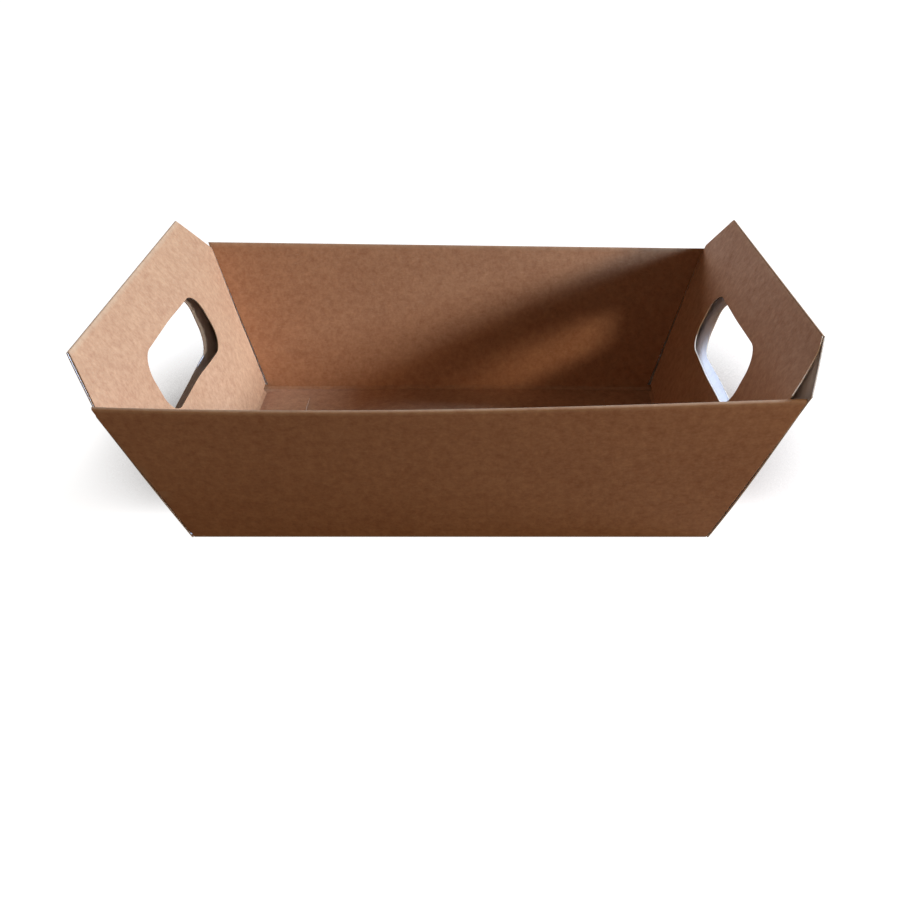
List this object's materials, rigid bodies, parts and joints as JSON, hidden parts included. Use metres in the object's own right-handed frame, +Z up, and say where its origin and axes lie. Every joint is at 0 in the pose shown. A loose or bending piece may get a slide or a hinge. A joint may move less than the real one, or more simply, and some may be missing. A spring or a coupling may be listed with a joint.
{
  "type": "cardboard tray box",
  "caption": "Open card tray with leaning double walls, a rolled rim, raised ends with hand holes, folded from one sheet.",
  "frame": {"origin": "middle of the base, on the surface the tray stands on", "axes": "+X along the tray towards one handle, +Y across it towards a long wall, +Z up"},
  "size_m": [0.3088, 0.2114, 0.1017],
  "materials": {
    "kraft_card": "matt brown kraft liner, faint fibre mottle, off-white reverse and cream cut edges"
  },
  "bodies": {
    "root": {"folded_tray": "kraft_card"}
  },
  "joints": []
}
